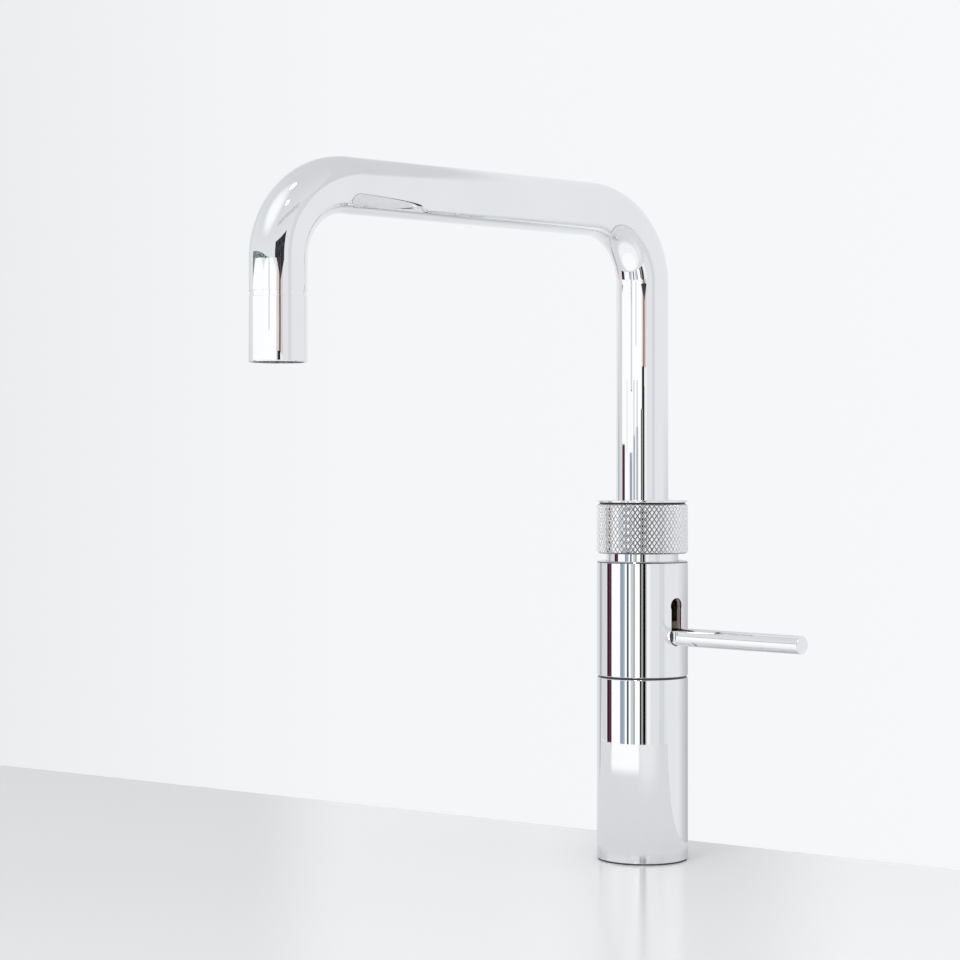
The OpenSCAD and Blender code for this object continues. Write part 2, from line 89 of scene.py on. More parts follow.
class Slot(Enum):
    """The record's material slots."""

    CHROME = "chrome"
    BRASS = "brass"
    COPPER = "copper"
    STEEL = "steel"
    RUBBER = "rubber"
    POLYMER = "polymer"
    CERAMIC = "ceramic"


class Lay(Enum):
    """Which way a finish's fine marks run, as the stretch of their noise along x, y and z."""

    TURNED = (14.0, 14.0, 1400.0)
    DRAWN = (900.0, 900.0, 12.0)
    EVEN = (1.0, 1.0, 1.0)


class Sketch:
    """A node tree, drawn with short calls."""

    def __init__(self, owner: bpy.types.Material | bpy.types.World, output: str = "OutputMaterial") -> None:
        """Empties the owner's node tree and gives it an output.

        Args:
            owner: the material or world that the tree belongs to.
            output: the output node's type without the ShaderNode prefix.
        """
        owner.use_nodes = True
        self.owner = owner
        self.tree = owner.node_tree
        self.tree.nodes.clear()
        self.out = self.node(output)

    @classmethod
    def material(cls, name: str) -> "Sketch":
        """Starts the tree of a new material."""
        return cls(bpy.data.materials.new(name))

    def node(self, kind: str, **settings: object) -> bpy.types.Node:
        """Adds a node.

        Args:
            kind: the node's type without the ShaderNode prefix.
            settings: properties of the node.

        Returns:
            The new node.
        """
        made = self.tree.nodes.new("ShaderNode" + kind)
        for key, value in settings.items():
            setattr(made, key, value)
        return made

    def fill(self, target: Socket, value: Socket | Triple | float) -> None:
        """Joins an output to an input, or gives the input a colour or a number."""
        if isinstance(value, bpy.types.NodeSocket):
            self.tree.links.new(value, target)
        else:
            target.default_value = (*value, 1.0) if isinstance(value, tuple) else value

    def end(self, shader: Socket) -> None:
        """Joins a shader to the output."""
        self.fill(self.out.inputs["Surface"], shader)

    def place(self, stretch: Triple = Lay.EVEN.value) -> Socket:
        """Gives the piece's own coordinates, stretched along x, y and z."""
        mapping = self.node("Mapping")
        mapping.inputs["Scale"].default_value = stretch
        self.fill(mapping.inputs["Vector"], self.node("TexCoord").outputs["Object"])
        return mapping.outputs["Vector"]

    def noise(self, stretch: Triple, scale: float, detail: float = 2.0) -> Socket:
        """Gives a noise over the piece.

        Args:
            stretch: factors along x, y and z.
            scale: how many features to the metre.
            detail: how many finer layers it has.

        Returns:
            The noise, from about 0.3 to 0.7.
        """
        made = self.node("TexNoise")
        self.fill(made.inputs["Scale"], scale)
        self.fill(made.inputs["Detail"], detail)
        self.fill(made.inputs["Vector"], self.place(stretch))
        return made.outputs["Fac"]

    def ranged(
        self, value: Socket, low: float, high: float, start: float = 0.3, end: float = 0.7, way: str = "LINEAR",
    ) -> Socket:
        """Maps a value from start..end to low..high, clamped.

        Args:
            value: the value to map.
            low: the result at start.
            high: the result at end.
            start: the lower end of the value.
            end: the upper end of the value.
            way: how the result goes from low to high.

        Returns:
            The mapped value.
        """
        made = self.node("MapRange", interpolation_type=way)
        for name, number in (("From Min", start), ("From Max", end), ("To Min", low), ("To Max", high)):
            self.fill(made.inputs[name], number)
        self.fill(made.inputs["Value"], value)
        return made.outputs["Result"]

    def soft(self, value: Socket, start: float, end: float, low: float = 0.0, high: float = 1.0) -> Socket:
        """Goes softly from low to high while a value goes from start to end."""
        return self.ranged(value, low, high, start, end, "SMOOTHSTEP")

    def blend(self, factor: Socket, low: Socket | Triple, high: Triple) -> Socket:
        """Mixes two colours: low where the factor is 0, and high where it is 1."""
        made = self.node("Mix", data_type="RGBA")
        self.fill(made.inputs[0], factor)
        self.fill(made.inputs[6], low)
        self.fill(made.inputs[7], high)
        return made.outputs[2]

    def calc(
        self, kind: str, first: Socket | float, second: Socket | float = 0.0, third: float = 0.0, clamp: bool = False,
    ) -> Socket:
        """Works out a sum.

        Args:
            kind: the Math node's operation.
            first: the first value.
            second: the second value.
            third: a third number, for the operations that take one.
            clamp: True to keep the result from 0 to 1.

        Returns:
            The result.
        """
        made = self.node("Math", operation=kind, use_clamp=clamp)
        for target, value in zip(made.inputs, (first, second, third)):
            self.fill(target, value)
        return made.outputs[0]

    def times(self, first: Socket, second: Socket | float) -> Socket:
        """Multiplies two values."""
        return self.calc("MULTIPLY", first, second)

    def vector(self, kind: str, first: Socket, second: Triple = (0.0, 0.0, 0.0)) -> Socket:
        """Works out a vector's length, its distance from a point or its share along a direction."""
        made = self.node("VectorMath", operation=kind)
        made.inputs[1].default_value = second
        self.fill(made.inputs[0], first)
        return made.outputs["Value"]

    def height(self, place: Socket | None = None) -> Socket:
        """Gives the z of a place, which is the piece's own unless it is given."""
        made = self.node("SeparateXYZ")
        self.fill(made.inputs[0], self.place() if place is None else place)
        return made.outputs["Z"]

    def from_axis(self) -> Socket:
        """Gives the distance from the tap's axis."""
        return self.vector("LENGTH", self.place((1.0, 1.0, 0.0)))

    def relief(self, height: Socket, depth_mm: float, strength: float) -> Socket:
        """Turns a height into a bumped normal.

        Args:
            height: the height.
            depth_mm: how deep the relief is.
            strength: how strongly it shows.

        Returns:
            The bumped normal.
        """
        made = self.node("Bump")
        self.fill(made.inputs["Distance"], depth_mm * MM)
        self.fill(made.inputs["Strength"], strength)
        self.fill(made.inputs["Height"], height)
        return made.outputs["Normal"]

    def surface(
        self, metallic: float, colour: Socket | Triple, rough: Socket | float, normal: Socket | None = None,
    ) -> bpy.types.Node:
        """Adds a surface shader and joins it to the output.

        Args:
            metallic: 1 for metal and 0 for anything else.
            colour: its colour.
            rough: its roughness.
            normal: its bumped normal, if it has one.

        Returns:
            The shader's node.
        """
        made = self.node("BsdfPrincipled")
        for name, value in (("Metallic", metallic), ("Base Color", colour), ("Roughness", rough)):
            self.fill(made.inputs[name], value)
        if normal is not None:
            self.fill(made.inputs["Normal"], normal)
        self.end(made.outputs[0])
        return made

    def glow(self, kind: str, colour: Socket | Triple, strength: Socket | float = 1.0) -> Socket:
        """Adds a shader that gives light of its own: Emission on a card and Background in the room."""
        made = self.node(kind)
        self.fill(made.inputs["Color"], colour)
        self.fill(made.inputs["Strength"], strength)
        return made.outputs[0]

    def over(self, factor: Socket, below: Socket, above: Socket) -> Socket:
        """Lays one shader over another, as far as the factor says."""
        made = self.node("MixShader")
        for target, value in zip(made.inputs, (factor, below, above)):
            self.fill(target, value)
        return made.outputs[0]


@dataclass(frozen=True)
class Finish:
    """A finish, which makes one material."""

    name: str

    def lay(self, sketch: Sketch) -> bpy.types.Node:
        """Draws the finish and returns its surface shader."""
        raise NotImplementedError

    def make(self) -> bpy.types.Material:
        """Builds the material."""
        sketch = Sketch.material(self.name)
        self.lay(sketch)
        return sketch.owner


@dataclass(frozen=True)
class PolishedMetal(Finish):
    """Plated and polished metal with faint wiping marks, water haze and the plating's slow ripple."""

    tint: Triple
    haze_tint: Triple
    polish: float = 0.004
    haze: float = 0.03
    ripple_mm: float = 0.02
    shade_line_mm: float | None = None
    shade_line_half_mm: float = 0.2
    shade_line_tint: Triple = (0.08, 0.08, 0.085)

    def lay(self, sketch: Sketch) -> bpy.types.Node:
        """Draws the haze where clouds and wipes meet, the ripple, and a thin dark band of painted shade at its
        height.
        """
        clouds = sketch.noise((1.0, 1.0, 0.45), 42.0, 4.0)
        wipes = sketch.noise((1.0, 1.0, 0.12), 620.0, 2.0)
        marks = sketch.times(sketch.ranged(clouds, 0.0, 1.0, 0.38, 0.68), sketch.ranged(wipes, 0.55, 1.0))
        tone = sketch.blend(marks, self.tint, self.haze_tint)
        # Painted shade: a thin dark band where a fine gap's shadow falls round the sleeve
        if self.shade_line_mm is not None:
            shade_line = sketch.calc("COMPARE", sketch.height(), self.shade_line_mm * MM, self.shade_line_half_mm * MM)
            tone = sketch.blend(shade_line, tone, self.shade_line_tint)
        rough = sketch.ranged(marks, self.polish, self.haze, 0.0, 1.0)
        ripple = sketch.noise((1.0, 1.0, 0.5), 30.0, 1.0)
        return sketch.surface(1.0, tone, rough, sketch.relief(ripple, self.ripple_mm, 0.08))


@dataclass(frozen=True)
class BoredMetal(Finish):
    """Polished metal that is dull within a radius and below a height: a bore, or a groove painted dark as shade."""

    outside: PolishedMetal
    inside: Triple
    radius_mm: float
    below_mm: float
    matt: float = 0.5
    metallic: float = 0.1
    speckle: float = 1.3

    def lay(self, sketch: Sketch) -> bpy.types.Node:
        """Draws the polished metal, and lays the dull one over it on the inside."""
        polished = self.outside.lay(sketch)
        spots = sketch.noise(Lay.EVEN.value, 260.0, 3.0)
        tone = sketch.blend(spots, self.inside, tuple(part * self.speckle for part in self.inside))
        dull = sketch.surface(self.metallic, tone, self.matt)
        near = sketch.calc("LESS_THAN", sketch.from_axis(), self.radius_mm * MM)
        low = sketch.calc("LESS_THAN", sketch.height(), self.below_mm * MM)
        sketch.end(sketch.over(sketch.times(near, low), polished.outputs[0], dull.outputs[0]))
        return polished


@dataclass(frozen=True)
class KnurledMetal(Finish):
    """Chrome over cut diamonds: bright crests, and dull grooves darkened by a little dirt and painted shade."""

    crest: Triple
    groove: Triple
    crest_r_mm: float
    groove_r_mm: float

    def lay(self, sketch: Sketch) -> bpy.types.Node:
        """Draws the chrome by its distance from the tap's axis, with painted shade and dirt darkening the grooves,
        less the dirt.
        """
        # Painted shade and dirt: the colour darkens from the crests down into the grooves
        raised = sketch.ranged(sketch.from_axis(), 0.0, 1.0, self.groove_r_mm * MM, self.crest_r_mm * MM)
        dirt = sketch.noise(Lay.EVEN.value, 900.0, 3.0)
        lit_and_clean = sketch.calc("ADD", raised, sketch.ranged(dirt, -0.22, 0.12), clamp=True)
        tone = sketch.blend(lit_and_clean, self.groove, self.crest)
        return sketch.surface(1.0, tone, sketch.ranged(lit_and_clean, 0.4, 0.07, 0.0, 1.0), sketch.relief(dirt, 0.03, 0.3))


@dataclass(frozen=True)
class MachinedMetal(Finish):
    """Bare metal with fine turning or drawing marks and patches of tarnish."""

    fresh: Triple
    tarnished: Triple
    smooth: float
    rough: float
    lay_of_marks: Lay = Lay.TURNED

    def lay(self, sketch: Sketch) -> bpy.types.Node:
        """Draws the tarnish in patches, and the marks over all of it."""
        marks = sketch.noise(self.lay_of_marks.value, 1.0, 3.0)
        patches = sketch.noise(Lay.EVEN.value, 75.0, 5.0)
        tone = sketch.blend(sketch.ranged(patches, 0.0, 1.0, 0.4, 0.66), self.fresh, self.tarnished)
        rough = sketch.times(sketch.ranged(marks, 0.75, 1.15), sketch.ranged(patches, self.smooth, self.rough))
        return sketch.surface(1.0, tone, rough, sketch.relief(marks, 0.03, 0.35))


@dataclass(frozen=True)
class MouldedFinish(Finish):
    """Rubber, plastic or sintered metal with a fine grain and a little dust."""

    colour: Triple
    dust: Triple
    gloss: float
    matt: float
    grain: float = 2600.0

    def lay(self, sketch: Sketch) -> bpy.types.Node:
        """Draws the dust in patches, and the grain over all of it."""
        grain = sketch.noise(Lay.EVEN.value, self.grain, 2.0)
        dust = sketch.noise(Lay.EVEN.value, 120.0, 5.0)
        tone = sketch.blend(sketch.ranged(dust, 0.0, 0.6, 0.45, 0.75), self.colour, self.dust)
        return sketch.surface(0.0, tone, sketch.ranged(dust, self.gloss, self.matt), sketch.relief(grain, 0.04, 0.4))


@dataclass(frozen=True)
class LappedCeramic(Finish):
    """White ceramic, lapped flat, with a faint grey bloom where it slides."""

    colour: Triple
    bloom: Triple

    def lay(self, sketch: Sketch) -> bpy.types.Node:
        """Draws the bloom in patches, and the lapping marks as roughness."""
        bloom = sketch.noise(Lay.EVEN.value, 160.0, 4.0)
        lapping = sketch.noise(Lay.TURNED.value, 1.0, 2.0)
        tone = sketch.blend(sketch.ranged(bloom, 0.0, 1.0, 0.42, 0.7), self.colour, self.bloom)
        return sketch.surface(0.0, tone, sketch.ranged(lapping, 0.14, 0.3))


def put(name: str, data: bpy.types.ID) -> bpy.types.Object:
    """Puts a mesh, a light or a camera into the scene."""
    thing = bpy.data.objects.new(name, data)
    bpy.context.scene.collection.objects.link(thing)
    return thing


def put_mesh(name: str, bm: bmesh.types.BMesh, finish: bpy.types.Material) -> bpy.types.Object:
    """Turns a mesh in the making into an object of the scene, in its material."""
    mesh = bpy.data.meshes.new(name)
    bm.to_mesh(mesh)
    bm.free()
    mesh.materials.append(finish)
    return put(name, mesh)


class Piece:
    """One new piece: a mesh in the making, with the helpers that shape and finish it."""

    def __init__(self, name: str) -> None:
        """Starts an empty mesh for a piece of that name."""
        self.name = name
        self.bm = bmesh.new()

    def lathe(self, profile: list[Point], steps: int = 160) -> None:
        """Turns a closed profile about the z axis.

        Args:
            profile: radius and height of each corner, in millimetres.
            steps: segments in a full turn.
        """
        bm = self.bm
        corners = [bm.verts.new((r * MM, 0.0, z * MM)) for r, z in profile]
        edges = [bm.edges.new((a, b)) for a, b in zip(corners, corners[1:] + corners[:1])]
        bmesh.ops.spin(
            bm, geom=corners + edges, cent=(0, 0, 0), axis=(0, 0, 1), dvec=(0, 0, 0),
            angle=math.tau, steps=steps, use_merge=True, use_duplicate=False,
        )
        self.close()

    def close(self) -> None:
        """Merges doubles and points every face outwards."""
        bmesh.ops.remove_doubles(self.bm, verts=self.bm.verts, dist=TINY)
        bmesh.ops.recalc_face_normals(self.bm, faces=self.bm.faces)

    def sharp_edges(self, low_mm: float = -FAR_MM, high_mm: float = FAR_MM, inner_mm: float = 0.0) -> Edges:
        """Finds the sharp edges in a range of heights and outside a radius.

        Args:
            low_mm: the lowest height.
            high_mm: the greatest height.
            inner_mm: the least distance from the z axis.

        Returns:
            The edges.
        """
        found = []
        for edge in self.bm.edges:
            middle = (edge.verts[0].co + edge.verts[1].co) / 2 / MM
            inside = low_mm <= middle.z <= high_mm and math.hypot(middle.x, middle.y) >= inner_mm
            if inside and edge.is_manifold and edge.calc_face_angle(0.0) > math.radians(SHARP_DEG):
                found.append(edge)
        return found

    def extrude(self, rim: Edges) -> tuple[list[bmesh.types.BMVert], Edges]:
        """Extrudes a rim in place, and gives the new corners and the new rim."""
        made = bmesh.ops.extrude_edge_only(self.bm, edges=rim)["geom"]
        verts = [part for part in made if isinstance(part, bmesh.types.BMVert)]
        new = set(verts)
        return verts, [part for part in made if isinstance(part, bmesh.types.BMEdge) and set(part.verts) <= new]

    def round_off(self, edges: Edges, width_mm: float, segments: int = 3) -> None:
        """Rounds edges.

        Args:
            edges: the edges to round.
            width_mm: how far the round reaches from each edge.
            segments: how many facets the round has.
        """
        bmesh.ops.bevel(
            self.bm, geom=edges, offset=width_mm * MM, offset_type="OFFSET", segments=segments,
            profile=0.5, affect="EDGES", clamp_overlap=True, material=-1, loop_slide=True,
        )

    def make(
        self, body: Body, node: str, slot: Slot, finish: bpy.types.Material, smooth: bool = True,
    ) -> bpy.types.Object:
        """Turns the mesh into the finished piece.

        Args:
            body: the body that it rides on.
            node: the CAD node that it stands for.
            slot: the record's material slot; not used.
            finish: its material.
            smooth: False for a piece with flat facets.

        Returns:
            The piece.
        """
        piece = put_mesh(self.name, self.bm, finish)
        mesh = piece.data
        if smooth:
            mesh.shade_smooth()
            mesh.set_sharp_from_angle(angle=math.radians(SMOOTH_DEG))
            weighted = piece.modifiers.new("even_normals", "WEIGHTED_NORMAL")
            weighted.keep_sharp = True
        else:
            mesh.shade_flat()
        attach(piece, body.value)
        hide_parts(node)
        log.info("%s: %d faces on %s, for %s", self.name, len(mesh.polygons), body.value, node)
        return piece


class Finishes:
    """Every finish of the tap, each made once."""

    def __init__(self) -> None:
        """Builds the materials."""
        tint, haze_tint = (0.87, 0.88, 0.895), (0.845, 0.855, 0.868)
        plating = PolishedMetal("polished_chrome", tint, haze_tint)
        # The mixer sleeve's chrome carries a thin band of painted shade near its top
        shade_lined = PolishedMetal("shade_lined_chrome", tint, haze_tint, shade_line_mm=125.65)
        brown, black = (0.45, 0.38, 0.33), (0.02, 0.02, 0.02)
        self.chrome = plating.make()
        # The black inside the cap's groove is painted shade
        self.cap = BoredMetal("grooved_chrome", plating, black, radius_mm=18.5, below_mm=150.79, matt=0.6).make()
        self.knurl = KnurledMetal("knurled_chrome", (0.93, 0.935, 0.945), (0.42, 0.42, 0.43), 19.1, 18.68).make()
        self.steel = MachinedMetal("machined_steel", (0.60, 0.61, 0.63), (0.50, 0.505, 0.51), 0.2, 0.34).make()
        self.by_slot = {
            Slot.CHROME: self.chrome,
            Slot.STEEL: self.steel,
            Slot.BRASS: MachinedMetal("turned_brass", (0.80, 0.62, 0.33), (0.58, 0.43, 0.23), 0.2, 0.38).make(),
            Slot.COPPER: MachinedMetal(
                "drawn_copper", (0.86, 0.52, 0.38), (0.55, 0.29, 0.20), 0.16, 0.36, Lay.DRAWN,
            ).make(),
            Slot.RUBBER: MouldedFinish("black_rubber", (0.018, 0.018, 0.02), (0.07, 0.07, 0.07), 0.5, 0.75).make(),
            Slot.POLYMER: MouldedFinish("dark_polymer", (0.03, 0.03, 0.033), (0.06, 0.06, 0.06), 0.3, 0.5).make(),
            Slot.CERAMIC: LappedCeramic("lapped_ceramic", (0.86, 0.85, 0.82), (0.74, 0.73, 0.71)).make(),
        }
        sintered = MouldedFinish("sintered_steel", (0.50, 0.42, 0.37), (0.40, 0.34, 0.30), 0.35, 0.6).make()
        self.by_node = {
            "mixer_sleeve": BoredMetal("bored_chrome", shade_lined, brown, radius_mm=18.6, below_mm=126.0).make(),
            "joint_nipple": self.chrome,
            "lever_carrier": sintered,
            "lever_hub": sintered,
        }

    def dress_nodes(self) -> None:
        """Gives every CAD node the finish of its own slot, or the one that it has by name."""
        for part in frame["record"]["subparts"]:
            name = part["node"]
            mesh = frame["nodes"][name].data
            finish = self.by_node.get(name, self.by_slot[Slot(part["material_slot"])])
            mesh.materials.clear()
            mesh.materials.append(finish)
            for face in mesh.polygons:
                face.material_index = 0
            log.info("%s: %s", name, finish.name)


@dataclass(frozen=True)
class LowerBody:
    """The fixed body on the worktop: a turned and plated shell."""

    radius: float = 19.25
    bore: float = 17.0
    shelf: float = 15.8
    stem: float = 14.3
    foot: float = 0.6
    floor: float = 6.6
    ledge: float = 56.0
    top: float = 77.0
    edge: float = 0.3
    inner_edge: float = 0.12

    def build(self, finishes: Finishes) -> None:
        """Turns the shell, with its inner ledge, and rounds its edges."""
        piece = Piece("lower_body_shell")
        piece.lathe([
            (self.stem, self.foot), (self.radius, self.foot), (self.radius, self.top),
            (self.bore, self.top), (self.bore, self.ledge), (self.shelf, self.ledge),
            (self.shelf, self.floor), (self.stem, self.floor),
        ])
        piece.round_off(piece.sharp_edges(inner_mm=self.radius - NEAR_MM), self.edge, segments=4)
        piece.round_off(piece.sharp_edges(), self.inner_edge, segments=2)
        piece.make(Body.BASE, "lower_body", Slot.CHROME, finishes.chrome)


@dataclass(frozen=True)
class Lever:
    """The round lever: a stub in the hub, two flats that ride in the slot, and a plain rod."""

    radius: float = 3.675
    tip: float = 85.0
    stub: float = 2.45
    stub_from: float = 10.25
    shoulder: float = 13.15
    flat_end: float = 22.142
    flat_lean_deg: float = 28.0
    flat_step: float = 0.02
    flat_room: float = 3.0
    tip_room: float = 2.0
    half_flat: float = 2.85
    height: float = 94.8
    turn_deg: float = 6.0
    edge: float = 0.35

    def build(self, finishes: Finishes) -> None:
        """Turns the rod, presses the flats in, and lays it along its own direction."""
        piece = Piece("lever_handle")
        piece.lathe([
            (0.0, self.stub_from), (self.stub, self.stub_from), (self.stub, self.shoulder),
            (self.radius, self.shoulder), (self.radius, self.flat_end + self.flat_room),
            (self.radius, self.tip - self.tip_room), (self.radius, self.tip), (0.0, self.tip),
        ], steps=96)
        piece.round_off(piece.sharp_edges(low_mm=self.tip - NEAR_MM), self.edge, segments=5)
        self.press_flats(piece)
        lay = Matrix.Rotation(math.radians(self.turn_deg), 4, "Z") @ Matrix.Rotation(math.radians(90), 4, "Y")
        lift = Matrix.Translation((0, 0, self.height * MM))
        bmesh.ops.transform(piece.bm, matrix=lift @ lay, verts=piece.bm.verts)
        piece.make(Body.LEVER, "lever_rod", Slot.CHROME, finishes.chrome)

    def press_flats(self, piece: Piece) -> None:
        """Cuts two rings on the slant where the flats end, and presses all inside them flat.

        Args:
            piece: the lever, still standing upright.
        """
        bm = piece.bm
        lean = Vector((math.tan(math.radians(self.flat_lean_deg)), 0.0, 1.0)).normalized()
        for rise in (0.0, self.flat_step):
            bmesh.ops.bisect_plane(
                bm, geom=[*bm.verts, *bm.edges, *bm.faces], dist=1e-7,
                plane_co=(0.0, 0.0, (self.flat_end + rise) * MM), plane_no=lean,
            )
        end = Vector((0.0, 0.0, (self.flat_end + self.flat_step / 2) * MM))
        limit = self.half_flat * MM
        for vert in bm.verts:
            if vert.co.z >= self.shoulder * MM - TINY and (vert.co - end).dot(lean) < 0.0:
                vert.co.y = max(-limit, min(limit, vert.co.y))


@dataclass(frozen=True)
class KnurledRing:
    """The ring that is pushed and turned: a diamond knurl, the thin cap on top of it, and its return spring."""

    low: float = 129.3
    high: float = 150.2
    radius: float = 19.25
    bore: float = 17.4
    depth: float = 0.55
    count: int = 60
    rows: int = 14
    end: float = 0.7
    end_radius: float = 18.35
    land: float = 0.24
    crest: float = 0.12
    crown: float = 0.05
    round_crown: float = 0.06
    cap_low: float = 150.8
    cap_high: float = 151.7
    cap_radius: float = 18.9
    cap_hole: float = 11.3
    cap_step: float = 0.9
    cap_edge: float = 0.22
    wire: float = 0.9
    wire_turns: int = 3
    wire_steps: int = 40
    travel: float = 2.8

    def diamond(self, piece: Piece, row: int) -> None:
        """Lays one flat diamond on the groove's floor.

        Args:
            piece: the grip.
            row: its row, from the knurl's lower end.
        """
        half_turn = math.pi / self.count
        half_rise = (self.high - self.low - 2 * self.end) / self.rows
        shift = half_turn * (row % 2)
        floor = (self.radius - self.depth) * MM
        made = bmesh.ops.create_circle(piece.bm, cap_ends=True, segments=4, radius=1.0)
        for vert in made["verts"]:
            angle = shift + vert.co.x * half_turn
            height = (self.low + self.end + (row + vert.co.y) * half_rise) * MM
            vert.co = (floor * math.cos(angle), floor * math.sin(angle), height)

    def cut_ends(self, piece: Piece) -> None:
        """Cuts the knurl to length and turns its edges down to the ring's plain ends."""
        bm = piece.bm
        for height, way in ((self.low + self.end, -1.0), (self.high - self.end, 1.0)):
            bmesh.ops.bisect_plane(
                bm, geom=[*bm.verts, *bm.edges, *bm.faces], dist=1e-7,
                plane_co=(0, 0, height * MM), plane_no=(0, 0, way), clear_outer=True, clear_inner=False,
            )
        for level, target in ((self.low + self.end, self.low), (self.high - self.end, self.high)):
            rim = [e for e in bm.edges if e.is_boundary and all(abs(v.co.z - level * MM) < TINY for v in e.verts)]
            for radius, height in ((self.end_radius, target), (self.bore, target)):
                rim = self.ring_step(piece, rim, radius, height)
            if target == self.low:
                self.ring_step(piece, rim, self.bore, self.high)

    @staticmethod
    def ring_step(piece: Piece, rim: Edges, radius: float, height: float) -> Edges:
        """Extrudes a rim to a new radius and height.

        Args:
            piece: the grip.
            rim: the edges to start from.
            radius: the new radius, in millimetres.
            height: the new height, in millimetres.

        Returns:
            The new rim.
        """
        verts, rim = piece.extrude(rim)
        for vert in verts:
            flat = Vector((vert.co.x, vert.co.y, 0.0)).normalized() * radius * MM
            vert.co = (flat.x, flat.y, height * MM)
        return rim

    def build_grip(self, finishes: Finishes) -> None:
        """Raises the diamonds, repeats them round the ring and closes its ends."""
        piece = Piece("knurl_grip")
        bm = piece.bm
        for row in range(-1, self.rows + 2):
            self.diamond(piece, row)
        bmesh.ops.reverse_faces(bm, faces=[face for face in bm.faces if face.normal.x < 0])
        rise = (self.depth - self.round_crown) * MM
        bmesh.ops.inset_individual(bm, faces=bm.faces[:], thickness=self.land * MM, depth=rise, use_even_offset=True)
        tops = sorted(bm.faces, key=lambda face: face.calc_center_median().xy.length, reverse=True)[: self.rows + 3]
        bmesh.ops.inset_individual(
            bm, faces=tops, thickness=self.crest * MM, depth=self.crown * MM, use_even_offset=True,
        )
        bmesh.ops.spin(
            bm, geom=[*bm.verts, *bm.edges, *bm.faces], cent=(0, 0, 0), axis=(0, 0, 1), dvec=(0, 0, 0),
            angle=math.tau * (self.count - 1) / self.count, steps=self.count - 1, use_merge=False, use_duplicate=True,
        )
        bmesh.ops.remove_doubles(bm, verts=bm.verts, dist=2e-6)
        self.cut_ends(piece)
        piece.close()
        piece.make(Body.RING, "knurled_grip", Slot.CHROME, finishes.knurl, smooth=False)

    def build_cap(self, finishes: Finishes) -> None:
        """Turns the thin cap with the groove under its rim, which its finish paints dark as shade."""
        piece = Piece("ring_cap_plate")
        foot = self.cap_radius - self.cap_step
        piece.lathe([
            (self.cap_hole, self.high), (foot, self.high), (foot, self.cap_low), (self.cap_radius, self.cap_low),
            (self.cap_radius, self.cap_high), (self.cap_hole, self.cap_high),
        ])
        rim = piece.sharp_edges(low_mm=self.cap_low - NEAR_MM, inner_mm=self.cap_radius - NEAR_MM)
        piece.round_off(rim, self.cap_edge, segments=4)
        piece.make(Body.RING, "ring_cap", Slot.CHROME, finishes.cap)

    def build_spring(self, finishes: Finishes) -> None:
        """Winds the return spring, in turns of even rise."""
        low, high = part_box("return_spring")
        wire, steps = self.wire / 2 * MM, self.wire_turns * self.wire_steps
        rise = (high.z - low.z - 2 * wire) / steps
        piece = Piece("return_coil")
        bm = piece.bm
        circle = bmesh.ops.create_circle(bm, cap_ends=False, segments=12, radius=wire)["verts"]
        bmesh.ops.rotate(bm, verts=circle, cent=(0, 0, 0), matrix=Matrix.Rotation(math.pi / 2, 3, "X"))
        bmesh.ops.translate(bm, verts=circle, vec=(high.x - wire, 0, low.z + wire))
        bmesh.ops.spin(
            bm, geom=[*bm.verts, *bm.edges], cent=(0, 0, 0), axis=(0, 0, 1), dvec=(0, 0, rise),
            angle=math.tau * self.wire_turns, steps=steps, use_merge=False, use_duplicate=False,
        )
        bmesh.ops.holes_fill(bm, edges=[edge for edge in bm.edges if edge.is_boundary], sides=0)
        piece.close()
        coil = piece.make(Body.RING, "return_spring", Slot.STEEL, finishes.steel)
        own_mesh(coil)

    def build(self, finishes: Finishes) -> None:
        """Builds the grip, the cap and the spring."""
        self.build_grip(finishes)
        self.build_cap(finishes)
        self.build_spring(finishes)


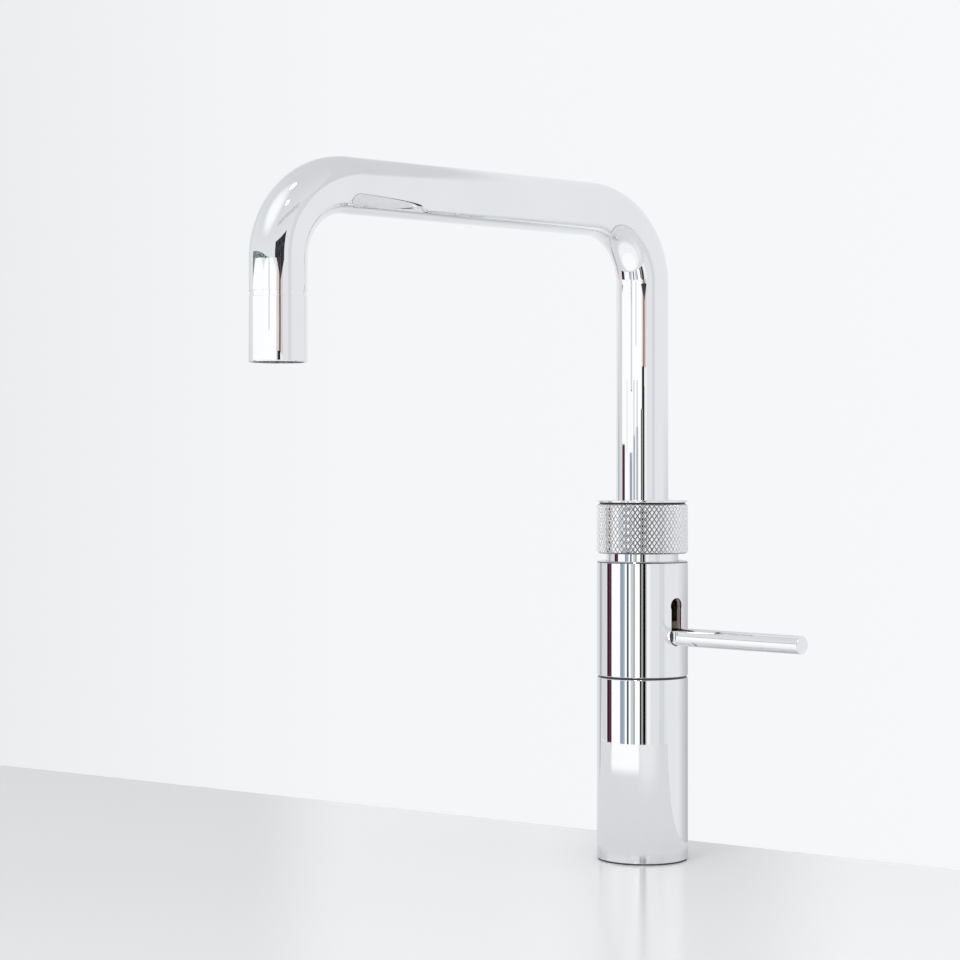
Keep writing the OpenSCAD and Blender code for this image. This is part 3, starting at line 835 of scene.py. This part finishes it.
@dataclass(frozen=True)
class Spout:
    """The square spout: a bent tube and the sleeve round its outlet."""

    radius: float = 11.0
    wall: float = 1.2
    bend: float = 30.0
    level: float = 273.0
    reach: float = 183.0
    joint_low: float = 228.8
    joint_high: float = 230.8
    outlet_low: float = 204.4
    bend_steps: int = 36
    band: float = 0.6
    lip: float = 0.45
    inner_edge: float = 0.12

    def build_tube(self, finishes: Finishes) -> None:
        """Draws the tube's outside and its bore along the route, and joins them at both ends."""
        piece = Piece("spout_pipe")
        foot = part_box("spout_tube")[0].z
        ends = [self.route(piece, radius * MM, foot) for radius in (self.radius, self.radius - self.wall)]
        for outer, inner in zip(*ends):
            bmesh.ops.bridge_loops(piece.bm, edges=outer + inner)
        piece.close()
        piece.make(Body.SPOUT, "spout_tube", Slot.CHROME, finishes.chrome)

    def route(self, piece: Piece, radius: float, foot: float) -> tuple[Edges, Edges]:
        """Draws one skin of the tube up, over and down.

        Args:
            piece: the tube.
            radius: the skin's radius, in metres.
            foot: the height that it starts from, in metres.

        Returns:
            The skin's first and last rims.
        """
        circle = bmesh.ops.create_circle(piece.bm, cap_ends=False, segments=112, radius=radius)["verts"]
        bmesh.ops.translate(piece.bm, verts=circle, vec=(0, 0, foot))
        first = list({edge for vert in circle for edge in vert.link_edges})
        bend_z = (self.level - self.bend) * MM
        rim = self.straight(piece, first, Vector((0, 0, bend_z - foot)))
        rim = self.turn(piece, rim, Vector((0, -self.bend * MM, bend_z)))
        rim = self.straight(piece, rim, Vector((0, -(self.reach - 2 * self.bend) * MM, 0)))
        rim = self.turn(piece, rim, Vector((0, (self.bend - self.reach) * MM, bend_z)))
        return first, self.straight(piece, rim, Vector((0, 0, self.joint_high * MM - bend_z)))

    def straight(self, piece: Piece, rim: Edges, way: Vector) -> Edges:
        """Runs the tube straight on, with a narrow band at each end that keeps its reflections straight.

        Args:
            piece: the tube.
            rim: its open end.
            way: the run, in metres.

        Returns:
            The new open end.
        """
        band = way.normalized() * self.band * MM
        for part in (band, way - 2 * band, band):
            verts, rim = piece.extrude(rim)
            bmesh.ops.translate(piece.bm, verts=verts, vec=part)
        return rim

    def turn(self, piece: Piece, rim: Edges, centre: Vector) -> Edges:
        """Bends the tube a quarter turn towards the outlet.

        Args:
            piece: the tube.
            rim: its open end.
            centre: the bend's centre, in metres.

        Returns:
            The new open end.
        """
        verts = list({vert for edge in rim for vert in edge.verts})
        made = bmesh.ops.spin(
            piece.bm, geom=verts + rim, cent=centre, axis=(1, 0, 0), dvec=(0, 0, 0),
            angle=math.pi / 2, steps=self.bend_steps, use_merge=False, use_duplicate=False,
        )
        return [item for item in made["geom_last"] if isinstance(item, bmesh.types.BMEdge)]

    def build_outlet(self, finishes: Finishes) -> None:
        """Turns the outlet's sleeve and rounds its lower rim."""
        piece = Piece("outlet_shell")
        bore = self.radius - self.wall
        piece.lathe([
            (bore, self.outlet_low), (self.radius, self.outlet_low),
            (self.radius, self.joint_low), (bore, self.joint_low),
        ], steps=128)
        rim = piece.sharp_edges(high_mm=self.outlet_low + NEAR_MM, inner_mm=self.radius - NEAR_MM)
        piece.round_off(rim, self.lip, segments=5)
        piece.round_off(piece.sharp_edges(), self.inner_edge, segments=2)
        bmesh.ops.translate(piece.bm, verts=piece.bm.verts, vec=(0, -self.reach * MM, 0))
        piece.make(Body.SPOUT, "outlet_sleeve", Slot.CHROME, finishes.chrome)

    def build(self, finishes: Finishes) -> None:
        """Builds the tube and the outlet's sleeve."""
        self.build_tube(finishes)
        self.build_outlet(finishes)


def sheet(half_size: float) -> bmesh.types.BMesh:
    """Starts a flat square."""
    bm = bmesh.new()
    bmesh.ops.create_grid(bm, x_segments=1, y_segments=1, size=half_size)
    return bm


def only_mirrored(thing: bpy.types.Object) -> None:
    """Keeps a thing of the studio out of all but the reflections."""
    thing.visible_camera = False
    thing.visible_diffuse = False
    thing.visible_shadow = False
    thing.visible_transmission = False


@dataclass(frozen=True)
class Card:
    """A tall card that only shows in the chrome's reflections, placed by its bearing from the camera."""

    name: str
    left: float
    right: float
    low: float
    high: float
    colour: Triple
    strength: float = 1.0
    distance: float = 1.7
    low_rise: float = 0.0
    high_rise: float = 0.0
    mottle: Triple | None = None

    def build(self, azimuth: float) -> None:
        """Stands the card up, facing the tap.

        Args:
            azimuth: the camera's azimuth, in degrees.
        """
        bm = sheet(0.5)
        wide = 2 * self.distance * math.tan(math.radians((self.right - self.left) / 2))
        bmesh.ops.scale(bm, verts=bm.verts, vec=(wide, self.high - self.low, 1.0))
        for vert in bm.verts:
            if vert.co.x > 0.0:
                vert.co.y += self.low_rise if vert.co.y < 0.0 else self.high_rise
        angle = math.radians(azimuth + (self.left + self.right) / 2)
        stand = Matrix.Rotation(angle, 4, "Z") @ UPRIGHT
        spot = Vector((math.sin(angle), -math.cos(angle), 0)) * self.distance
        spot.z = (self.low + self.high) / 2
        bmesh.ops.transform(bm, matrix=Matrix.Translation(spot) @ stand, verts=bm.verts)
        sketch = Sketch.material(self.name)
        spots = sketch.ranged(sketch.noise(Lay.EVEN.value, 26.0, 3.0), 0.0, 1.0, 0.44, 0.6)
        tone = sketch.blend(spots, self.colour, self.mottle or self.colour)
        sketch.end(sketch.glow("Emission", tone, self.strength))
        only_mirrored(put_mesh(self.name, bm, sketch.owner))


@dataclass(frozen=True)
class Wall:
    """The pale wall behind the tap, which only shows in reflections, with the tap's soft shade on it."""

    turn: float = math.radians(16.4)
    behind: float = 0.0514
    half_width: float = 3.0
    half_height: float = 0.8
    light: float = 0.90

    def across(self, sketch: Sketch) -> Socket:
        """Gives the distance behind the tap's axis, square to the wall."""
        return sketch.vector("DOT_PRODUCT", sketch.place(), (-math.sin(self.turn), math.cos(self.turn), 0.0))

    def build(self) -> None:
        """Stands the wall up."""
        bm = sheet(1.0)
        stand = Matrix.Translation((0.0, self.behind, self.half_height)) @ UPRIGHT
        wide = Matrix.Diagonal((self.half_width, self.half_height, 1.0, 1.0))
        bmesh.ops.transform(bm, matrix=Matrix.Rotation(self.turn, 4, "Z") @ stand @ wide, verts=bm.verts)
        only_mirrored(put_mesh("wall", bm, self.paint()))

    def paint(self) -> bpy.types.Material:
        """Paints the wall with painted shade: the tap's shade, two darker areas on the left and one over a curved
        rim.
        """
        sketch = Sketch.material("pale_wall")
        along = sketch.vector("DOT_PRODUCT", sketch.place(), (math.cos(self.turn), math.sin(self.turn), 0.0))
        height = sketch.height()
        level = self.light
        # Where each shade lies: along the wall, then up the wall, then how deep it is
        shades = (
            (sketch.calc("ABSOLUTE", sketch.calc("ADD", along, 0.005)), (0.085, 0.012), (0.22, 0.07), 0.37),
            (along, (-0.04, -0.12), (0.24, 0.12), 0.10),
            (along, (-0.20, -0.27), (0.27, 0.17), 0.32),
        )
        for place, side, rise, depth in shades:
            shade = sketch.times(sketch.soft(place, *side), sketch.soft(height, *rise))
            level = sketch.calc("SUBTRACT", level, sketch.times(shade, depth))
        spread = sketch.calc("POWER", sketch.calc("ABSOLUTE", sketch.calc("ADD", along, 0.12)), 0.5)
        rim = sketch.calc("MULTIPLY_ADD", spread, 0.30, 0.36)
        upper = sketch.soft(sketch.calc("SUBTRACT", height, rim), -0.03, 0.035)
        level = sketch.calc("SUBTRACT", level, sketch.times(upper, 0.165))
        sketch.end(sketch.glow("Emission", ROOM_TINT, level))
        return sketch.owner


@dataclass(frozen=True)
class Floor:
    """The worktop: plain and pale, it ends at the wall and, in reflections, at its front edge."""

    wall: Wall
    half_size: float = 2.5
    joint_half: float = 0.0035
    joint_tint: Triple = (0.03, 0.03, 0.035)
    mirrored_tint: Triple = (0.72, 0.72, 0.73)
    white: Triple = (1.12, 1.12, 1.12)

    def build(self) -> None:
        """Lays the worktop."""
        bm = sheet(self.half_size)
        floor = put_mesh("floor", bm, self.paint())

    @staticmethod
    def bright(sketch: Sketch, steep: Socket, away: Socket) -> Socket:
        """Draws the light that lies on the worktop where only the chrome sees it.

        Args:
            sketch: the worktop's node tree.
            steep: 1 where the worktop is seen from above, and 0 at a grazing angle.
            away: the distance from the tap's foot.

        Returns:
            How white the worktop is.
        """
        place = sketch.place()
        patch = sketch.soft(sketch.vector("DISTANCE", place, (0.022, -0.45, 0.0)), 0.295, 0.255)
        bright = sketch.times(patch, sketch.calc("MAXIMUM", steep, sketch.soft(away, 0.285, 0.34)))
        # Each beam has its middle, its edge, where it is full, and its level
        beams = (
            ((0.37, -0.20, 0.0), 0.24, 0.24 * 0.3, 0.35),
            ((0.07, -0.40, 0.0), 0.36, 0.36 * 0.85, sketch.times(steep, 0.7)),
        )
        for middle, edge, full, level in beams:
            beam = sketch.soft(sketch.vector("DISTANCE", place, middle), edge, full)
            bright = sketch.calc("MAXIMUM", bright, sketch.times(beam, level))
        return bright

    def paint(self) -> bpy.types.Material:
        """Paints the worktop: a faint gloss for the camera, and a matt one with painted light and a joint for the
        chrome.
        """
        sketch = Sketch.material("pale_floor")
        plain = sketch.surface(0.0, (0.8, 0.8, 0.8), 0.16)
        plain.inputs["Specular IOR Level"].default_value = 0.3
        path = sketch.node("LightPath")
        glossy = path.outputs["Is Glossy Ray"]
        across = self.wall.across(sketch)
        away = sketch.vector("LENGTH", sketch.place())
        steep = sketch.soft(sketch.node("LayerWeight").outputs["Facing"], 0.80, 0.72)
        joint = sketch.times(sketch.calc("COMPARE", across, self.wall.behind, self.joint_half), steep)
        matt = sketch.node("BsdfDiffuse")
        sketch.fill(matt.inputs["Color"], sketch.blend(joint, self.mirrored_tint, self.joint_tint))
        shine = sketch.node("BsdfGlossy")
        shine.inputs["Roughness"].default_value = 0.08
        foot = sketch.times(sketch.soft(away, 0.05, 0.03), 0.5)
        front = sketch.calc("MULTIPLY_ADD", steep, 0.40, 0.44)
        beyond = sketch.times(sketch.calc("GREATER_THAN", away, front), glossy)
        behind = sketch.times(sketch.calc("GREATER_THAN", across, self.wall.behind), path.outputs["Is Camera Ray"])
        layers = (
            (glossy, matt.outputs[0]),
            (sketch.times(self.bright(sketch, steep, away), glossy), sketch.glow("Emission", self.white)),
            (sketch.times(foot, glossy), shine.outputs[0]),
            (sketch.calc("MAXIMUM", behind, beyond), sketch.node("BsdfTransparent").outputs[0]),
        )
        seen = plain.outputs[0]
        for factor, layer in layers:
            seen = sketch.over(factor, seen, layer)
        sketch.end(seen)
        return sketch.owner


class Room(Sketch):
    """The room's light: white for the camera and for soft light, with soft greys in the reflections."""

    soft_tint: Triple = (0.985, 0.99, 1.0)
    walls: tuple[Point, ...] = ((0.0, 0.80), (0.55, 0.88), (0.75, 0.82), (0.87, 0.78), (1.0, 0.74))
    backdrop: tuple[Point, ...] = ((0.0, 0.855), (0.35, 0.925), (1.0, 0.94))

    def __init__(self) -> None:
        """Starts the world's node tree."""
        super().__init__(bpy.data.worlds.new("room"), "OutputWorld")
        self.way = self.node("TexCoord").outputs["Generated"]

    def towards(self, bearing_deg: float, rise_deg: float = 0.0) -> Socket:
        """Gives how far a direction points to a bearing and a rise."""
        angle, rise = math.radians(bearing_deg), math.radians(rise_deg)
        aim = (math.sin(angle) * math.cos(rise), -math.cos(angle) * math.cos(rise), math.sin(rise))
        return self.vector("DOT_PRODUCT", self.way, aim)

    def greys(self, value: Socket, stops: tuple[Point, ...], low: float = -1.0, high: float = 1.0) -> Socket:
        """Gives greys along a value that runs from low to high.

        Args:
            value: the value.
            stops: the place from 0 to 1 and the level of each grey.
            low: the value at the first place.
            high: the value at the last place.

        Returns:
            The grey.
        """
        made = self.node("ValToRGB")
        for _ in stops[2:]:
            made.color_ramp.elements.new(0.5)
        for element, (spot, level) in zip(made.color_ramp.elements, stops):
            element.position = spot
            element.color = (*(part * level for part in ROOM_TINT), 1.0)
        self.fill(made.inputs[0], self.ranged(value, 0.0, 1.0, low, high))
        return made.outputs["Color"]

    def build(self, azimuth: float, pan: float) -> None:
        """Joins the room's three looks.

        Args:
            azimuth: the camera's azimuth, in degrees.
            pan: how far it looks to the left of the tap, in degrees.
        """
        bpy.context.scene.world = self.owner
        path = self.node("LightPath")
        ceiling = self.soft(self.towards(azimuth - 50.0, 48.0), 0.88, 0.995, 1.0, 1.42)
        reflected = self.glow("Background", self.greys(self.height(self.way), self.walls), ceiling)
        across = self.towards(azimuth + pan + 90.0)
        behind = self.glow("Background", self.greys(across, self.backdrop, -0.21, 0.21))
        look = self.over(path.outputs["Is Glossy Ray"], self.glow("Background", self.soft_tint), reflected)
        self.end(self.over(path.outputs["Is Camera Ray"], look, behind))


@dataclass(frozen=True)
class Lamp:
    """A square lamp. One that sparkles shows in the chrome only, and the others light the matt things only."""

    name: str
    spot: Triple
    size: float
    power: float
    sparkles: bool
    aim: Triple = (0.0, -0.08, 0.12)

    def build(self) -> None:
        """Hangs the lamp and points it at the tap."""
        data = bpy.data.lights.new(self.name, "AREA")
        data.size = self.size
        data.energy = self.power
        lamp = put(self.name, data)
        lamp.location = self.spot
        lamp.rotation_euler = (Vector(self.aim) - Vector(self.spot)).to_track_quat("-Z", "Y").to_euler()
        lamp.visible_glossy = self.sparkles
        lamp.visible_diffuse = not self.sparkles


WHITE, BLACK, GREY = (1.0, 1.0, 1.0), (0.02, 0.02, 0.022), (0.76, 0.77, 0.79)

# The windows, frames and posts of the room round the tap
CARDS = (
    Card("near_cabinet", -122.0, -101.0, 0.002, 0.6, GREY, distance=0.43),
    Card("dark_frame", -100.0, -94.0, -0.6, 0.20, (0.012, 0.012, 0.014)),
    Card("red_frame", -94.0, -83.7, -0.6, 0.20, (0.12, 0.03, 0.06)),
    Card("left_window", -101.0, -46.0, -0.6, 0.415, WHITE, 1.12, 1.9),
    Card(
        "window_head", -103.0, -18.0, 0.445, 0.63, (0.02, 0.035, 0.035), distance=1.9,
        low_rise=-0.04, high_rise=-0.21, mottle=(0.50, 0.58, 0.60),
    ),
    Card("blue_pane", -57.0, -44.6, -0.6, 0.19, (0.44, 0.53, 0.66)),
    Card("blue_mullion", -57.0, -54.0, -0.6, 0.19, (0.20, 0.24, 0.32), distance=1.68),
    Card("blue_bar", -51.5, -48.8, -0.6, 0.18, (0.30, 0.35, 0.42), distance=1.68),
    Card("middle_window", -46.5, -3.0, -0.6, 0.415, WHITE, 1.14, 1.9),
    Card("faint_mullion", -73.0, -70.5, 0.19, 0.275, (0.70, 0.70, 0.72)),
    Card("thin_frame", -39.0, -34.4, -0.6, 0.21, (0.05, 0.055, 0.07)),
    Card("thin_mullion", -38.5, -36.2, 0.21, 0.275, (0.25, 0.26, 0.28)),
    Card("grey_pane", -29.2, -18.4, -0.6, 0.22, (0.66, 0.68, 0.72)),
    Card("grey_bar", -22.5, -18.4, -0.6, 0.22, (0.44, 0.46, 0.50), distance=1.68),
    Card("grey_mullion", -24.5, -21.5, 0.22, 0.275, (0.42, 0.42, 0.44)),
    Card("outlet_mullion", -29.4, -27.4, 0.315, 0.415, (0.34, 0.34, 0.40)),
    Card("post_sill", -12.0, 12.0, -0.6, -0.09, (0.78, 0.78, 0.79), distance=0.98),
    Card("left_post", -6.3, -2.6, -0.10, 0.22, (0.015, 0.014, 0.015), distance=1.0),
    Card("grey_post", -2.7, 1.9, -0.10, 0.22, (0.42, 0.41, 0.41), distance=1.01),
    Card("tube_post", -2.0, 2.0, 0.22, 0.257, (0.10, 0.09, 0.09), distance=1.01),
    Card("dark_post", 1.8, 7.8, -0.10, 0.257, (0.002, 0.002, 0.002), distance=1.0),
    Card("post_edge", 7.5, 10.6, -0.10, 0.24, (0.50, 0.50, 0.51), distance=1.01),
    Card("outlet_post", 4.2, 9.6, 0.257, 0.34, (0.07, 0.05, 0.045), distance=1.01, mottle=(0.35, 0.24, 0.21)),
    Card("outlet_jamb", -2.0, 17.5, 0.257, 0.34, (0.80, 0.68, 0.65), distance=1.02),
    Card("right_window", 10.0, 20.0, -0.6, 0.35, WHITE, distance=1.9),
    Card(
        "shelf_left", -10.3, 9.0, 0.332, 0.50, BLACK, distance=1.0,
        low_rise=-0.019, high_rise=0.045, mottle=(0.07, 0.07, 0.075),
    ),
    Card(
        "shelf_right", 9.0, 22.3, 0.313, 0.545, BLACK, distance=1.0,
        low_rise=0.021, high_rise=0.025, mottle=(0.07, 0.07, 0.075),
    ),
    Card("corner", 43.0, 57.0, -0.6, 1.2, GREY, distance=1.8),
    Card("ceiling_rail", -10.0, 40.0, 1.12, 1.30, (0.56, 0.55, 0.57), distance=1.6, mottle=(0.80, 0.80, 0.81)),
)

# One soft lamp high on the left, and two small ones that sparkle on the bend
LAMPS = (
    Lamp("soft_lamp", (0.4, -1.6, 1.7), 0.9, 9.0, sparkles=False),
    Lamp("spark_lamp", (0.196, -0.705, 1.876), 0.19, 12.0, sparkles=True),
    Lamp("faint_spark", (0.866, -0.915, 1.536), 0.12, 2.0, sparkles=True),
)


@dataclass(frozen=True)
class Studio:
    """The camera, the pale floor, the soft light and the cards round the tap."""

    azimuth: float = 47.85
    distance: float = 0.9494
    eye: float = 0.1616
    pan: float = 4.157
    tilt: float = -0.08
    lens: float = 83.75

    def build_camera(self) -> None:
        """Stands the camera where the photograph was taken from."""
        data = bpy.data.cameras.new("camera")
        data.lens = self.lens
        data.sensor_width = 36.0
        data.clip_start = 0.01
        camera = put("camera", data)
        angle = math.radians(self.azimuth)
        camera.location = (self.distance * math.sin(angle), -self.distance * math.cos(angle), self.eye)
        camera.rotation_euler = (math.radians(90 + self.tilt), 0.0, math.radians(self.azimuth + self.pan))
        bpy.context.scene.camera = camera

    def build(self) -> None:
        """Builds the whole studio."""
        self.build_camera()
        wall = Wall()
        Floor(wall).build()
        wall.build()
        Room().build(self.azimuth, self.pan)
        for card in CARDS:
            card.build(self.azimuth)
        for lamp in LAMPS:
            lamp.build()
        bpy.context.scene.view_settings.view_transform = "Standard"
        log.info("studio: camera at %.1f degrees", self.azimuth)


def main() -> None:
    """Builds the tap's pieces and the studio."""
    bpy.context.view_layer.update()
    Studio().build()
    finishes = Finishes()
    finishes.dress_nodes()
    for maker in (LowerBody(), Lever(), KnurledRing(), Spout()):
        maker.build(finishes)


if __name__ == "__main__":
    main()
